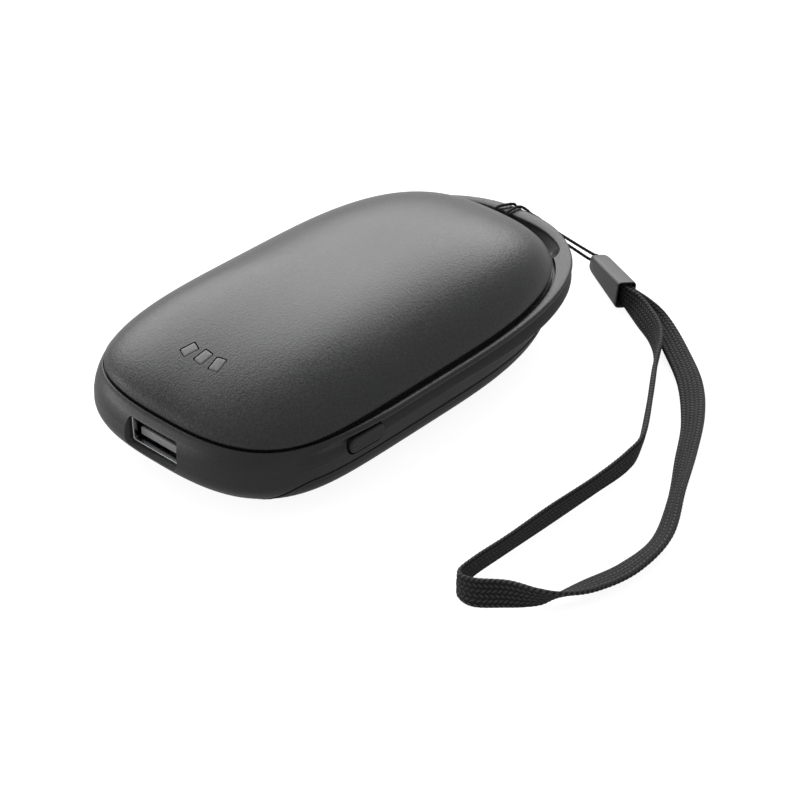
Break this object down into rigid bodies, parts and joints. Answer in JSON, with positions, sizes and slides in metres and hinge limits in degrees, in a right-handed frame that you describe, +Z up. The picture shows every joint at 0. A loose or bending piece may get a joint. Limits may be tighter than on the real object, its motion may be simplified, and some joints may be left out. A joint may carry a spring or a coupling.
{
  "type": "rechargeable hand warmer",
  "caption": "Pebble shaped rechargeable hand warmer with a USB socket, side button, indicator windows, lanyard ring and a woven wrist strap on a thin cord.",
  "frame": {"origin": "centre of the case's bounding box at the flat of its base, strap and cord left out", "axes": "+X from the USB socket to the lanyard ring, -Y the side with the power button, +Z up from the flat base to the dome"},
  "size_m": [0.1249, 0.117, 0.028],
  "materials": {
    "top_grey": "fine matte, soft touch",
    "frame_black": "fine matte",
    "base_charcoal": "fine matte",
    "seal_black": "matte",
    "light_guide": "milky, satin",
    "button_charcoal": "satin",
    "switch_black": "matte",
    "plunger_white": "matte",
    "plated_steel": "bright nickel plating",
    "tongue_grey": "matte",
    "contact_gold": "gold plated",
    "board_green": "solder mask",
    "light_chip": "satin",
    "chip_black": "matte",
    "ferrite": "matte",
    "capacitor_tan": "satin",
    "cell_blue": "shrink wrap",
    "carrier_white": "matte",
    "nickel": "satin",
    "lead_red": "satin",
    "lead_black": "satin",
    "lead_white": "satin",
    "film_amber": "clear amber film",
    "foam_grey": "open foam",
    "sensor_black": "matte",
    "screw_steel": "zinc plated",
    "cord_black": "tight round braid",
    "sleeve_grey": "satin",
    "strap_black": "flat woven ribbon"
  },
  "bodies": {
    "case": {"top_shell": "top_grey", "mid_frame": "frame_black", "bottom_shell": "base_charcoal", "seal_top": "seal_black", "light_guide": "light_guide", "switch_body": "switch_black", "usb_shell": "plated_steel", "usb_tongue": "tongue_grey", "usb_contacts": "contact_gold", "inlet_shell": "plated_steel", "inlet_tongue": "switch_black", "main_board": "board_green", "indicator_leds": "light_chip", "control_chip": "chip_black", "power_chip": "chip_black", "boost_inductor": "ferrite", "capacitors": "capacitor_tan", "battery_cell_left": "cell_blue", "battery_cell_right": "cell_blue", "cell_carrier": "carrier_white", "nickel_strip_front": "nickel", "nickel_strip_rear": "nickel", "cell_lead_red": "lead_red", "cell_lead_black": "lead_black", "heater_film": "film_amber", "foam_pad": "foam_grey", "temperature_sensor": "sensor_black", "heater_leads": "lead_white", "case_screws": "screw_steel", "board_screws": "screw_steel", "lanyard_cord": "cord_black", "strap_sleeve": "sleeve_grey", "wrist_strap": "strap_black"},
    "button": {"power_button": "button_charcoal", "switch_plunger": "plunger_white"}
  },
  "joints": [
    {"name": "button_press", "type": "slide", "parent": "case", "child": "button", "axis": [0, 1, 0], "range_m": [0, 0.00035], "stiffness_N_per_m": 2000, "springref_m": -0.0002}
  ]
}
